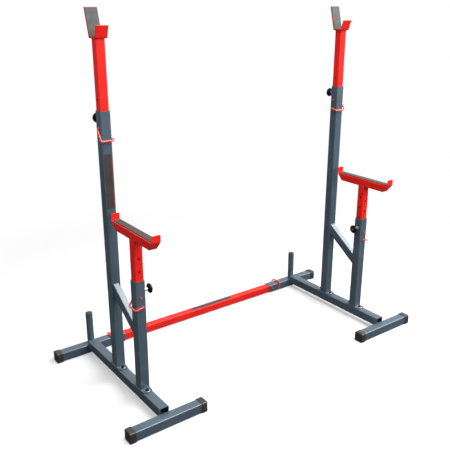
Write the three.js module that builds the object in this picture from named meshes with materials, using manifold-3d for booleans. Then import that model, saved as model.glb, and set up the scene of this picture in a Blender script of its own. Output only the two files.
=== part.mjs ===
// Squat stand: two mirrored units joined by a cross bar that telescopes into their rear feet.
// Each unit has a tall upright with a sliding J-hook for the bar, and a short post in front
// of it with a sliding rest that catches the bar. A bent rod clip and a spring-loaded pull
// pin lock each slider, and one more clip locks the cross bar.
// Millimetres. X runs across the stand, Y from the front to the rear, Z up from the floor.

import * as THREE from "three";
import { mergeVertices } from "three/addons/utils/BufferGeometryUtils.js";
import Module from "manifold-3d";

const wasm = await Module();
wasm.setup();

// Square tubes and how they telescope
const tubeSize = 40;
const tubeWall = 2;
const tubeCorner = 4;
const slideClearance = 0.5;
const sliderWall = 2;
const sliderCorner = 4;
const sliderSize = tubeSize - 2 * (tubeWall + slideClearance);

// Gap left between two pieces that are welded, bolted or pressed together
const seatGap = 0.3;

// How far a cutting shape runs past what it cuts
const overrun = 5;

// Base
const standWidth = 1508;
const footprintDepth = 692;
const footLength = 320;
const spineRise = 21;

// Sleeve caps of the feet
const capWall = 2.2;
const capEnd = 3.7;
const capGrip = 21;
const capEdge = 1.8;
const capCorner = 6;

// Round peg for plates on the rear foot
const pegRadius = 15;
const pegWall = 2;
const pegTop = 186.5;
const pegDome = 6;
const pegPlugDepth = 12;
const pegPlugClearance = 0.3;
const pegRimShare = 0.3;

// Posts, measured from the middle of the footprint and from the floor
const uprightPlace = 51.5;
const uprightTop = 1101;
const postSpacing = 198.5;
const spotterTop = 516;

// Bolted flange under each post
const flangeThickness = 4;
const flangeReach = 26;
const flangeCorner = 13;
const boltReach = 14;
const boltHole = 9;

// Brace between the posts: heights of its middle line at the two posts' faces
const braceDepth = 40;
const braceWidth = 25;
const braceWall = 2;
const braceCorner = 3;
const braceFootHeight = 302;
const braceHeadHeight = 412;

// Locking holes: each pin lies below its post's mouth, and its pull pin above that pin
const pinHole = 9;
const holePitch = 50;
const barPitch = 25;
const barHoles = 7;
const sliderTail = 33;
const rackPinDrop = 61;
const rackPlungerRise = 30;
const rackHolesBelow = 4;
const rackHolesAbove = 2;
const spotterPinDrop = 63;
const spotterPlungerRise = 18;
const spotterHolesBelow = 3;
const spotterHolesAbove = 3;
const barPinPlace = 138;
const barTail = 24;

// J-hook: a bent plate, its places taken from the slider's middle line
const hookHeight = 1347;
const hookWidth = 48;
const hookPlate = 4;
const hookBend = 5;
const hookFloorFront = 22;
const hookFloorBack = 21;
const hookLipRise = 43;
const hookLipLean = 14;
const hookBackRise = 101;
const hookBackLean = 26;

// Rubber liner on the J-hook's floor and back plate
const linerThickness = 3;
const linerMargin = 2.5;
const linerFront = 17.5;
const linerBend = 2.2;

// Spotter rest: a tube with mitred ends, closed by plates that stand up as lips
const restHeight = 673;
const restSize = 33;
const restWall = 2;
const restCorner = 3.5;
const restLength = 294;
const restMitre = 28;
const restPlate = 3;
const restBend = 4;
const restLip = 25.5;
const restLipCorner = 4;
const restVent = 14;
const weldSink = 0.5;

// Rubber pad on the spotter rest
const padWidth = 28;
const padThickness = 3;
const padLength = 280;
const padBevel = 1;
const padCorner = 3;

// Bent rod clip: pin leg through the tube, slanted leg, run across the next face, free leg
const rodRadius = 3.5;
const clipStandOff = 2;
const clipBend = 7;
const clipDrop = 45;
const clipTip = 4;
const clipHook = 33;
const clipHookRise = 7.5;

// Pull pin: barrel on the post, plunger, spring and knob
const noseRadius = 3.8;
const noseReach = 3.5;
const shaftRadius = 2.5;
const collarRadius = 4.2;
const collarThickness = 2.5;
const barrelRadius = 6;
const barrelBore = 4.7;
const barrelLength = 18;
const barrelEnd = 3.5;
const barrelBaseRadius = 8;
const barrelBaseThickness = 3.5;
const barrelEdge = 1;
const springWire = 0.9;
const springRadius = 3.6;
const springTurns = 4;
const knobRadius = 19;
const knobThickness = 11.5;
const knobEdge = 3.5;
const knobDome = 2;
const knobPlace = 23;
const knobHubRadius = 7.5;
const knobHubLength = 3.5;
const knobSocketDepth = 6.5;

// Facets
const cornerSteps = 3;
const innerCornerSteps = 1;
const bendSteps = 3;
const domeSteps = 2;
const holeSides = 8;
const roundSides = 20;
const smallRoundSides = 12;
const rodSides = 8;
const springSides = 4;
const springSteps = 6;

// Places worked out from the sizes above
const tubeHalf = tubeSize / 2;
const capStand = seatGap + capWall;
const footMiddleHeight = capStand + tubeHalf;
const footPlace = footprintDepth / 2 - tubeHalf;
const unitSpacing = standWidth - footLength - 2 * (seatGap + capEnd);
const spineLength = footprintDepth - 2 * (tubeSize + seatGap);
const spineMiddleHeight = capStand + spineRise + tubeHalf;
const spineTop = spineMiddleHeight + tubeHalf;
const flangeBottom = spineTop + seatGap;
const spotterPlace = uprightPlace - postSpacing;
const rackPinHeight = uprightTop - rackPinDrop;
const spotterPinHeight = spotterTop - spotterPinDrop;
const clipReach = tubeHalf + clipStandOff + rodRadius;
const rearOverhang = clipReach + rodRadius - tubeHalf - capStand;

// Finishes
const slatePaint = new THREE.MeshStandardMaterial({ color: "#46545f", roughness: 0.42, metalness: 0.25 });
const redPaint = new THREE.MeshStandardMaterial({ color: "#e3221f", roughness: 0.4, metalness: 0.05 });
const blackPlastic = new THREE.MeshStandardMaterial({ color: "#2b2a29", roughness: 0.6, metalness: 0 });
const greyRubber = new THREE.MeshStandardMaterial({ color: "#5d5f5a", roughness: 0.85, metalness: 0 });
const zincSteel = new THREE.MeshStandardMaterial({ color: "#b9bcbd", roughness: 0.35, metalness: 1 });

// Joining and cutting of closed shapes
function solidOf(geometry) {
  const shell = geometry.clone();
  shell.deleteAttribute("normal");
  shell.deleteAttribute("uv");
  const welded = mergeVertices(shell);
  const mesh = new wasm.Mesh({
    numProp: 3,
    vertProperties: welded.attributes.position.array,
    triVerts: new Uint32Array(welded.index.array),
  });
  return new wasm.Manifold(mesh);
}

function geometryOf(solid) {
  const mesh = solid.getMesh();
  const geometry = new THREE.BufferGeometry();
  geometry.setAttribute("position", new THREE.BufferAttribute(mesh.vertProperties, 3));
  geometry.setIndex(new THREE.BufferAttribute(mesh.triVerts, 1));
  const facets = geometry.toNonIndexed();
  facets.computeVertexNormals();
  return facets;
}

function cut(geometry, tools) {
  const solid = tools.reduce((body, tool) => body.subtract(solidOf(tool)), solidOf(geometry));
  return geometryOf(solid);
}

function join(geometry, others) {
  const solid = others.reduce((body, other) => body.add(solidOf(other)), solidOf(geometry));
  return geometryOf(solid);
}

function keepInside(geometry, limit) {
  return geometryOf(solidOf(geometry).intersect(solidOf(limit)));
}

// Outlines
function roundedRectangle(width, height, corner, steps) {
  const points = [];
  const quarter = Math.PI / 2;
  [[1, 1], [-1, 1], [-1, -1], [1, -1]].forEach(([sideX, sideY], turn) => {
    for (let i = 0; i <= steps; i += 1) {
      const angle = quarter * (turn + i / steps);
      const x = sideX * (width / 2 - corner) + corner * Math.cos(angle);
      const y = sideY * (height / 2 - corner) + corner * Math.sin(angle);
      points.push(new THREE.Vector2(x, y));
    }
  });
  return points;
}

function circle(radius, sides) {
  const points = [];
  for (let i = 0; i < sides; i += 1) {
    const angle = (2 * Math.PI * i) / sides;
    points.push(new THREE.Vector2(radius * Math.cos(angle), radius * Math.sin(angle)));
  }
  return points;
}

function ringShape(outer, inner) {
  const shape = new THREE.Shape(outer);
  shape.holes.push(new THREE.Path(inner));
  return shape;
}

function tubeShape(width, height, corner, wall) {
  const outer = roundedRectangle(width, height, corner, cornerSteps);
  const inner = roundedRectangle(width - 2 * wall, height - 2 * wall, corner - wall, innerCornerSteps);
  return ringShape(outer, inner);
}

// A route of straight lines whose corners are rounded to one radius
function roundedRoute(corners, radius, steps) {
  const route = [corners[0].clone()];
  for (let i = 1; i < corners.length - 1; i += 1) {
    const back = corners[i - 1].clone().sub(corners[i]).normalize();
    const ahead = corners[i + 1].clone().sub(corners[i]).normalize();
    const half = Math.acos(back.dot(ahead)) / 2;
    const towards = back.clone().add(ahead).normalize();
    const centre = corners[i].clone().addScaledVector(towards, radius / Math.sin(half));
    const start = corners[i].clone().addScaledVector(back, radius / Math.tan(half));
    const end = corners[i].clone().addScaledVector(ahead, radius / Math.tan(half));
    const from = start.sub(centre).divideScalar(radius);
    const to = end.sub(centre).divideScalar(radius);
    const sweep = Math.PI - 2 * half;
    for (let step = 0; step <= steps; step += 1) {
      const angle = (sweep * step) / steps;
      const point = from.clone().multiplyScalar(Math.sin(sweep - angle));
      point.addScaledVector(to, Math.sin(angle)).divideScalar(Math.sin(sweep));
      route.push(point.multiplyScalar(radius).add(centre));
    }
  }
  route.push(corners[corners.length - 1].clone());
  return route;
}

// The outline of a bent plate, laid out on both sides of its middle line
function bentPlateShape(corners, thickness, bend) {
  const route = roundedRoute(corners, bend, bendSteps);
  const along = route.slice(1).map((point, i) => point.clone().sub(route[i]).normalize());
  const sideways = route.map((point, i) => {
    const before = along[Math.max(i - 1, 0)];
    const after = along[Math.min(i, along.length - 1)];
    const middle = before.clone().add(after).normalize();
    const widen = 1 / middle.dot(after);
    return new THREE.Vector2(-middle.y, middle.x).multiplyScalar((widen * thickness) / 2);
  });
  const left = route.map((point, i) => point.clone().add(sideways[i]));
  const right = route.map((point, i) => point.clone().sub(sideways[i]));
  return new THREE.Shape([...right, ...left.reverse()]);
}

// Extrusions about the middle of their length. Across X, a shape's x is Y and its y is Z;
// along Y, they are X and Z; along Z, X and Y.
function extrudeZ(shape, length) {
  const geometry = new THREE.ExtrudeGeometry(shape, { depth: length, bevelEnabled: false });
  return geometry.translate(0, 0, -length / 2);
}

function extrudeX(shape, length) {
  const turn = new THREE.Matrix4().makeBasis(
    new THREE.Vector3(0, 1, 0),
    new THREE.Vector3(0, 0, 1),
    new THREE.Vector3(1, 0, 0),
  );
  return extrudeZ(shape, length).applyMatrix4(turn);
}

function extrudeY(shape, length) {
  const turn = new THREE.Matrix4().makeBasis(
    new THREE.Vector3(1, 0, 0),
    new THREE.Vector3(0, 0, 1),
    new THREE.Vector3(0, -1, 0),
  );
  return extrudeZ(shape, length).applyMatrix4(turn);
}

const extrude = { x: extrudeX, y: extrudeY, z: extrudeZ };

// A plate or pad with its upper edges bevelled, standing on z = 0
function bevelledSlab(outline, thickness, bevel) {
  const geometry = new THREE.ExtrudeGeometry(new THREE.Shape(outline), {
    depth: thickness - bevel,
    bevelThickness: bevel,
    bevelSize: bevel,
    bevelOffset: -bevel,
    bevelSegments: 1,
  });
  const cutter = new THREE.BoxGeometry(...slabCutterSize(outline, bevel));
  cutter.translate(0, 0, -bevel);
  return cut(geometry, [cutter]);
}

function slabCutterSize(outline, bevel) {
  const box = new THREE.Box2().setFromPoints(outline).getSize(new THREE.Vector2());
  return [box.x + overrun, box.y + overrun, 2 * bevel];
}

// A round cutter along one axis, at one place
function drill(axis, diameter, length, place) {
  const shape = new THREE.Shape(circle(diameter / 2, holeSides));
  return extrude[axis](shape, length).translate(place.x || 0, place.y || 0, place.z || 0);
}

// A body of revolution about Z
function turned(profile, sides) {
  const points = profile.map(([radius, height]) => new THREE.Vector2(radius, height));
  return new THREE.LatheGeometry(points, sides).rotateX(Math.PI / 2);
}

// A curve through chosen stations, so that a swept piece is divided only where it bends
class StationCurve extends THREE.Curve {
  constructor(stations) {
    super();
    this.stations = stations;
  }

  getPoint(share, target = new THREE.Vector3()) {
    const place = share * (this.stations.length - 1);
    const index = Math.min(Math.floor(place), this.stations.length - 2);
    return target.lerpVectors(this.stations[index], this.stations[index + 1], place - index);
  }

  getPointAt(share, target) {
    return this.getPoint(share, target);
  }

  getTangentAt(share, target = new THREE.Vector3()) {
    const index = Math.round(share * (this.stations.length - 1));
    const here = this.stations[index];
    const before = this.stations[Math.max(index - 1, 0)];
    const after = this.stations[Math.min(index + 1, this.stations.length - 1)];
    const arriving = here.clone().sub(before).normalize();
    const leaving = after.clone().sub(here).normalize();
    return target.copy(arriving).add(leaving).normalize();
  }
}

function sweptRod(stations, radius, sides) {
  const path = new StationCurve(stations);
  const section = new THREE.Shape(circle(radius, sides));
  return new THREE.ExtrudeGeometry(section, { steps: stations.length - 1, extrudePath: path });
}

function part(name, geometry, material) {
  const mesh = new THREE.Mesh(geometry, material);
  mesh.name = name;
  return mesh;
}

// Base pieces
function footTube() {
  return extrudeX(tubeShape(tubeSize, tubeSize, tubeCorner, tubeWall), footLength);
}

function rearFootTube() {
  return cut(footTube(), [drill("y", pinHole, tubeSize + overrun, { x: barPinPlace })]);
}

function spineTube() {
  const tube = extrudeY(tubeShape(tubeSize, tubeSize, tubeCorner, tubeWall), spineLength);
  const boltPlaces = [uprightPlace, spotterPlace].flatMap(boltPlacesAt);
  const drills = boltPlaces.map((y) => drill("z", boltHole, tubeHalf, { y, z: tubeHalf }));
  return cut(tube, drills);
}

// A sleeve cap along X: it grips the tube's end, which lies at x = 0, and closes it at +X
function footCap() {
  const size = tubeSize + 2 * capStand;
  const length = capGrip + seatGap + capEnd;
  const outline = new THREE.Shape(roundedRectangle(size, size, capCorner, cornerSteps));
  const sleeve = new THREE.ExtrudeGeometry(outline, {
    depth: length - 2 * capEdge,
    bevelThickness: capEdge,
    bevelSize: capEdge,
    bevelOffset: -capEdge,
    bevelSegments: 1,
  });
  sleeve.translate(0, 0, capEdge - capGrip);
  const recessSize = tubeSize + 2 * seatGap;
  const recess = new THREE.Shape(
    roundedRectangle(recessSize, recessSize, tubeCorner + seatGap, cornerSteps),
  );
  const hollow = extrudeZ(recess, capGrip + overrun);
  hollow.translate(0, 0, seatGap - (capGrip + overrun) / 2);
  return cut(sleeve, [hollow]).rotateY(Math.PI / 2);
}

function pegTube(length) {
  const bore = circle(pegRadius - pegWall, roundSides);
  return extrudeZ(ringShape(circle(pegRadius, roundSides), bore), length);
}

// A plug with a domed head, its rim resting on the peg at z = 0
function pegPlug() {
  const stem = pegRadius - pegWall - pegPlugClearance;
  const dome = [];
  for (let i = 0; i < domeSteps; i += 1) {
    const angle = (Math.PI / 2) * (i / domeSteps);
    const rise = pegRimShare + (1 - pegRimShare) * Math.sin(angle);
    dome.push([pegRadius * Math.cos(angle), pegDome * rise]);
  }
  const plug = [[0, -pegPlugDepth], [stem, -pegPlugDepth], [stem, 0], [pegRadius, 0]];
  return turned([...plug, ...dome, [0, pegDome]], roundSides);
}

// Posts: a tube standing on its flange, from the flange's underside at z = 0
function boltPlacesAt(postPlace) {
  const reach = tubeHalf + boltReach;
  return [postPlace - reach, postPlace + reach];
}

function post(height, pinAxis, pinHeight, plungerHoleTool) {
  const length = height - flangeThickness / 2;
  const tube = extrudeZ(tubeShape(tubeSize, tubeSize, tubeCorner, tubeWall), length);
  tube.translate(0, 0, height - length / 2);
  const flangeLength = tubeSize + 2 * flangeReach;
  const flangeOutline = roundedRectangle(tubeSize, flangeLength, flangeCorner, cornerSteps);
  const flange = extrudeZ(new THREE.Shape(flangeOutline), flangeThickness);
  flange.translate(0, 0, flangeThickness / 2);
  const bolts = boltPlacesAt(0).map((y) => drill("z", boltHole, flangeThickness + 2 * overrun, { y }));
  const pin = drill(pinAxis, pinHole, tubeSize + overrun, { z: pinHeight });
  return cut(join(tube, [flange]), [...bolts, pin, plungerHoleTool]);
}

// A cutter through one wall only: the wall on the positive side of the given axis
function oneWallDrill(axis, size, z) {
  const reach = size / 2;
  return drill(axis, pinHole, reach, { [axis]: reach, z });
}

function brace() {
  const gap = postSpacing - tubeSize - 2 * seatGap;
  const rise = braceHeadHeight - braceFootHeight;
  const run = postSpacing - tubeSize;
  const tube = extrudeY(tubeShape(braceWidth, braceDepth, braceCorner, braceWall), 2 * (run + rise));
  tube.rotateX(Math.atan2(rise, run));
  const limit = new THREE.BoxGeometry(braceWidth + overrun, gap, 2 * (run + rise));
  return keepInside(tube, limit);
}

// Sliders: z = 0 is the height of the locking pin
function slider(tail, head, pins, plungers, pinAxis, plungerAxis) {
  const tube = extrudeZ(tubeShape(sliderSize, sliderSize, sliderCorner, sliderWall), tail + head);
  tube.translate(0, 0, (head - tail) / 2);
  const through = pins.map((z) => drill(pinAxis, pinHole, sliderSize + overrun, { z }));
  const oneWall = plungers.map((z) => oneWallDrill(plungerAxis, sliderSize, z));
  return cut(tube, [...through, ...oneWall]);
}

function holeRow(first, last, start, pitch) {
  const places = [];
  for (let i = first; i <= last; i += 1) {
    places.push(start + i * pitch);
  }
  return places;
}

function crossBar() {
  const firstHole = unitSpacing / 2 - barPinPlace;
  const places = holeRow(0, barHoles - 1, firstHole, barPitch);
  const length = 2 * (firstHole + (barHoles - 1) * barPitch + barTail);
  const tube = extrudeX(tubeShape(sliderSize, sliderSize, sliderCorner, sliderWall), length);
  const bothSides = places.flatMap((x) => [x, -x]);
  return cut(tube, bothSides.map((x) => drill("y", pinHole, sliderSize + overrun, { x })));
}

// J-hook: its underside lies at z = 0 and the slider's middle line at y = 0
function hookCorners() {
  const floor = hookPlate / 2;
  return [
    new THREE.Vector2(-hookFloorFront - hookLipLean, hookLipRise),
    new THREE.Vector2(-hookFloorFront, floor),
    new THREE.Vector2(hookFloorBack, floor),
    new THREE.Vector2(hookFloorBack + hookBackLean, hookBackRise),
  ];
}

function jHook() {
  return extrudeX(bentPlateShape(hookCorners(), hookPlate, hookBend), hookWidth);
}

// One strip of rubber, laid along the inside of the hook's floor and of its back plate
function jHookLiner() {
  const [, , bottom, top] = hookCorners();
  const up = top.clone().sub(bottom).normalize();
  const inwards = new THREE.Vector2(-up.y, up.x);
  const depth = hookPlate / 2 + seatGap + linerThickness / 2;
  const halfTurn = up.angle() / 2;
  const route = [
    new THREE.Vector2(-linerFront, bottom.y + depth),
    new THREE.Vector2(bottom.x - depth * Math.tan(halfTurn), bottom.y + depth),
    top.clone().addScaledVector(up, -linerMargin).addScaledVector(inwards, depth),
  ];
  const outline = bentPlateShape(route, linerThickness, linerBend);
  return extrudeX(outline, hookWidth - 2 * linerMargin);
}

// Spotter rest: its underside lies at z = 0 and its middle at y = 0
function spotterRest() {
  const half = restLength / 2;
  const foot = half - restMitre;
  const trapezium = new THREE.Shape([
    new THREE.Vector2(-foot, 0),
    new THREE.Vector2(foot, 0),
    new THREE.Vector2(half, restSize),
    new THREE.Vector2(-half, restSize),
  ]);
  const beam = extrudeY(tubeShape(restSize, restSize, restCorner, restWall), restLength);
  beam.translate(0, 0, restSize / 2);
  const mitred = keepInside(beam, extrudeX(trapezium, restSize + overrun));
  const outwards = restPlate / 2 - weldSink;
  const below = 1 + restPlate / restSize;
  const lips = [-1, 1].map((side) => {
    const corners = [
      new THREE.Vector2(side * (half - restMitre * below + outwards), restSize * (1 - below)),
      new THREE.Vector2(side * (half + outwards), restSize),
      new THREE.Vector2(side * (half + outwards), restSize + restLip),
    ];
    return lipPlate(corners);
  });
  const vent = drill("z", restVent, restSize, {});
  return cut(join(mitred, lips), [vent]);
}

// A lip's plate, cut level with the rest's underside, its two upper corners rounded
function lipPlate(corners) {
  const route = corners[0].x < 0 ? [...corners].reverse() : corners;
  const plate = extrudeX(bentPlateShape(route, restPlate, restBend), restSize);
  const mirrored = roundedRectangle(restSize, 2 * (restSize + restLip), restLipCorner, cornerSteps);
  const upper = mirrored.filter((point) => point.y > 0);
  const base = [new THREE.Vector2(-restSize / 2, 0), new THREE.Vector2(restSize / 2, 0)];
  const limit = extrudeY(new THREE.Shape([...base, ...upper]), restLength + 2 * restSize);
  return keepInside(plate, limit);
}

function spotterPad() {
  const outline = roundedRectangle(padWidth, padLength, padCorner, cornerSteps);
  return bevelledSlab(outline, padThickness, padBevel);
}

// Clip: the pin leg runs along X through the origin, the slanted leg lies on the -X face,
// the run crosses the -Y face, and the free leg lies on the +X face
function rodClip() {
  const corners = [
    new THREE.Vector3(tubeHalf + clipTip, 0, 0),
    new THREE.Vector3(-clipReach, 0, 0),
    new THREE.Vector3(-clipReach, -clipReach, -clipDrop),
    new THREE.Vector3(clipReach, -clipReach, -clipDrop),
    new THREE.Vector3(clipReach, clipHook - clipReach, clipHookRise - clipDrop),
  ];
  return sweptRod(roundedRoute(corners, clipBend, bendSteps), rodRadius, rodSides);
}

// Pull pin, along Z: the post's face lies at z = 0 and the knob stands off at +Z
function pullBarrel() {
  const outer = barrelRadius;
  const bore = barrelBore;
  const shaftHole = shaftRadius + slideClearance;
  const inside = barrelLength - barrelEnd;
  const baseTop = seatGap + barrelBaseThickness;
  return turned([
    [bore, seatGap],
    [barrelBaseRadius, seatGap],
    [barrelBaseRadius, baseTop - barrelEdge],
    [barrelBaseRadius - barrelEdge, baseTop],
    [outer, baseTop],
    [outer, barrelLength - barrelEdge],
    [outer - barrelEdge, barrelLength],
    [shaftHole, barrelLength],
    [shaftHole, inside],
    [bore, inside],
    [bore, seatGap],
  ], smallRoundSides);
}

function pullPlunger() {
  const tip = -(tubeWall + slideClearance + sliderWall + noseReach);
  const nosePoint = tip + noseRadius - shaftRadius;
  const collarTop = seatGap + collarThickness;
  const end = knobPlace + knobSocketDepth;
  return turned([
    [0, tip],
    [shaftRadius, tip],
    [noseRadius, nosePoint],
    [noseRadius, seatGap],
    [collarRadius, seatGap],
    [collarRadius, collarTop],
    [shaftRadius, collarTop],
    [shaftRadius, end],
    [0, end],
  ], smallRoundSides);
}

function pullKnob() {
  const socket = shaftRadius + seatGap;
  const socketEnd = knobPlace + knobSocketDepth + seatGap;
  const hubStart = knobPlace - knobHubLength;
  const crown = knobPlace + knobThickness;
  return turned([
    [0, socketEnd],
    [socket, socketEnd],
    [socket, hubStart],
    [knobHubRadius, hubStart],
    [knobHubRadius, knobPlace],
    [knobRadius - knobEdge, knobPlace],
    [knobRadius, knobPlace + knobEdge],
    [knobRadius, crown - knobEdge - knobDome],
    [knobRadius - knobEdge, crown - knobDome],
    [0, crown],
  ], roundSides);
}

function pullSpring() {
  const bottom = seatGap + collarThickness + seatGap + springWire / 2;
  const top = barrelLength - barrelEnd - seatGap - springWire / 2;
  const count = springTurns * springSteps;
  const stations = [];
  for (let i = 0; i <= count; i += 1) {
    const angle = (2 * Math.PI * i) / springSteps;
    const height = bottom + ((top - bottom) * i) / count;
    stations.push(
      new THREE.Vector3(springRadius * Math.cos(angle), springRadius * Math.sin(angle), height),
    );
  }
  const pitch = (top - bottom) / springTurns;
  console.log("least gap between the spring's turns, mm:", (pitch - springWire).toFixed(2));
  return sweptRod(stations, springWire / 2, springSides);
}

function pullPin(side, name) {
  const pin = new THREE.Group();
  pin.add(
    part(`${side}_${name}_pull_barrel`, pullBarrel(), zincSteel),
    part(`${side}_${name}_pull_plunger`, pullPlunger(), zincSteel),
    part(`${side}_${name}_pull_spring`, pullSpring(), zincSteel),
    part(`${side}_${name}_pull_knob`, pullKnob(), blackPlastic),
  );
  return pin;
}

// One unit, drawn with its inner side at +X and its spine over x = 0
function buildBase(side) {
  const base = new THREE.Group();

  const spine = part(`${side}_spine`, spineTube(), slatePaint);
  spine.position.z = spineMiddleHeight;

  const frontFoot = part(`${side}_front_foot`, footTube(), slatePaint);
  frontFoot.position.set(0, -footPlace, footMiddleHeight);

  const rearFoot = part(`${side}_rear_foot`, rearFootTube(), slatePaint);
  rearFoot.position.set(0, footPlace, footMiddleHeight);

  const capPlaces = [
    ["front_cap_outer", -1, -footPlace],
    ["front_cap_inner", 1, -footPlace],
    ["rear_cap", -1, footPlace],
  ];
  for (const [name, direction, y] of capPlaces) {
    const cap = part(`${side}_${name}`, footCap(), blackPlastic);
    cap.position.set((direction * footLength) / 2, y, footMiddleHeight);
    cap.rotation.z = direction < 0 ? Math.PI : 0;
    base.add(cap);
  }

  const pegBottom = capStand + tubeSize + seatGap;
  const pegPlace = footPlace - tubeHalf + pegRadius + seatGap;
  const peg = part(`${side}_plate_peg`, pegTube(pegTop - pegBottom), slatePaint);
  peg.position.set(0, pegPlace, (pegTop + pegBottom) / 2);
  const pegCap = part(`${side}_plate_peg_cap`, pegPlug(), blackPlastic);
  pegCap.position.set(0, pegPlace, pegTop + seatGap);

  base.add(spine, frontFoot, rearFoot, peg, pegCap);
  return base;
}

function buildPosts(side) {
  const posts = new THREE.Group();

  const rackPin = rackPinHeight - flangeBottom;
  const uprightHole = oneWallDrill("y", tubeSize, rackPin + rackPlungerRise);
  const uprightShape = post(uprightTop - flangeBottom, "x", rackPin, uprightHole);
  const upright = part(`${side}_upright`, uprightShape, slatePaint);
  upright.position.set(0, uprightPlace, flangeBottom);

  const spotterPin = spotterPinHeight - flangeBottom;
  const spotterHole = oneWallDrill("x", tubeSize, spotterPin + spotterPlungerRise);
  const spotterShape = post(spotterTop - flangeBottom, "y", spotterPin, spotterHole);
  const spotterPost = part(`${side}_spotter_post`, spotterShape, slatePaint);
  spotterPost.position.set(0, spotterPlace, flangeBottom);

  const tie = part(`${side}_brace`, brace(), slatePaint);
  tie.position.set(0, (uprightPlace + spotterPlace) / 2, (braceFootHeight + braceHeadHeight) / 2);

  posts.add(upright, spotterPost, tie);
  return posts;
}

function buildRack(side) {
  const rack = new THREE.Group();
  rack.position.y = uprightPlace;

  const tail = rackHolesBelow * holePitch + sliderTail;
  const head = hookHeight - seatGap - rackPinHeight;
  const pins = holeRow(-rackHolesBelow, rackHolesAbove, 0, holePitch);
  const plungers = pins.map((z) => z + rackPlungerRise);
  const tube = part(`${side}_rack_slider`, slider(tail, head, pins, plungers, "x", "y"), redPaint);
  tube.position.z = rackPinHeight;

  const hook = part(`${side}_j_hook`, jHook(), redPaint);
  hook.position.z = hookHeight;
  const liner = part(`${side}_j_hook_liner`, jHookLiner(), greyRubber);
  liner.position.z = hookHeight;

  const clip = part(`${side}_rack_clip`, rodClip(), redPaint);
  clip.position.z = rackPinHeight;

  const pin = pullPin(side, "rack");
  pin.position.set(0, tubeHalf, rackPinHeight + rackPlungerRise);
  pin.rotation.x = -Math.PI / 2;

  rack.add(tube, hook, liner, clip, pin);
  return rack;
}

function buildSpotter(side) {
  const spotter = new THREE.Group();
  spotter.position.y = spotterPlace;

  const tail = spotterHolesBelow * holePitch + sliderTail;
  const head = restHeight - seatGap - spotterPinHeight;
  const pins = holeRow(-spotterHolesBelow, spotterHolesAbove, 0, holePitch);
  const plungers = pins.map((z) => z + spotterPlungerRise);
  const tube = part(`${side}_spotter_slider`, slider(tail, head, pins, plungers, "y", "x"), redPaint);
  tube.position.z = spotterPinHeight;

  const rest = part(`${side}_spotter_rest`, spotterRest(), redPaint);
  rest.position.z = restHeight;
  const pad = part(`${side}_spotter_pad`, spotterPad(), greyRubber);
  pad.position.z = restHeight + restSize + seatGap;

  const clip = part(`${side}_spotter_clip`, rodClip(), redPaint);
  clip.position.z = spotterPinHeight;
  clip.rotation.z = -Math.PI / 2;

  const pin = pullPin(side, "spotter");
  pin.position.set(tubeHalf, 0, spotterPinHeight + spotterPlungerRise);
  pin.rotation.y = Math.PI / 2;

  spotter.add(tube, rest, pad, clip, pin);
  return spotter;
}

// The cross bar's clip: its pin leg comes in from the rear, its loop lies over the foot's top
function buildBarClip(side) {
  const clip = part(`${side}_bar_clip`, rodClip(), redPaint);
  clip.position.set(barPinPlace, footPlace, footMiddleHeight);
  const turn = new THREE.Matrix4().makeBasis(
    new THREE.Vector3(0, -1, 0),
    new THREE.Vector3(0, 0, -1),
    new THREE.Vector3(1, 0, 0),
  );
  clip.setRotationFromMatrix(turn);
  return clip;
}

function buildUnit(side, direction) {
  const unit = new THREE.Group();
  unit.add(buildBase(side), buildPosts(side), buildRack(side), buildSpotter(side), buildBarClip(side));
  unit.position.x = (direction * unitSpacing) / 2;
  unit.scale.x = -direction;
  return unit;
}

const bar = part("cross_bar", crossBar(), redPaint);
bar.position.set(0, footPlace, footMiddleHeight);

// The rear clips stand out past the caps, so the stand moves forward by half of that, and
// the origin is the middle of the whole object on the floor
const stand = new THREE.Group();
stand.add(bar, buildUnit("left", -1), buildUnit("right", 1));
stand.position.y = -rearOverhang / 2;

const group = new THREE.Group();
group.add(stand);

export default group;
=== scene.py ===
# %% [markdown]
# # A squat stand, dressed piece by piece
# The real stand is two mirrored units of powder-coated steel box tube, joined by a red cross
# bar that slides into both. In each unit a red tube with a J-hook telescopes in a tall post,
# and a red tube with a padded rest telescopes in a short one. Bent rod clips and spring-loaded
# pull pins lock them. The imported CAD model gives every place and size, and this script models
# what is seen over it: rolled corners, bends, weld beads, bolts, rubber and paint.

import math

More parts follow.
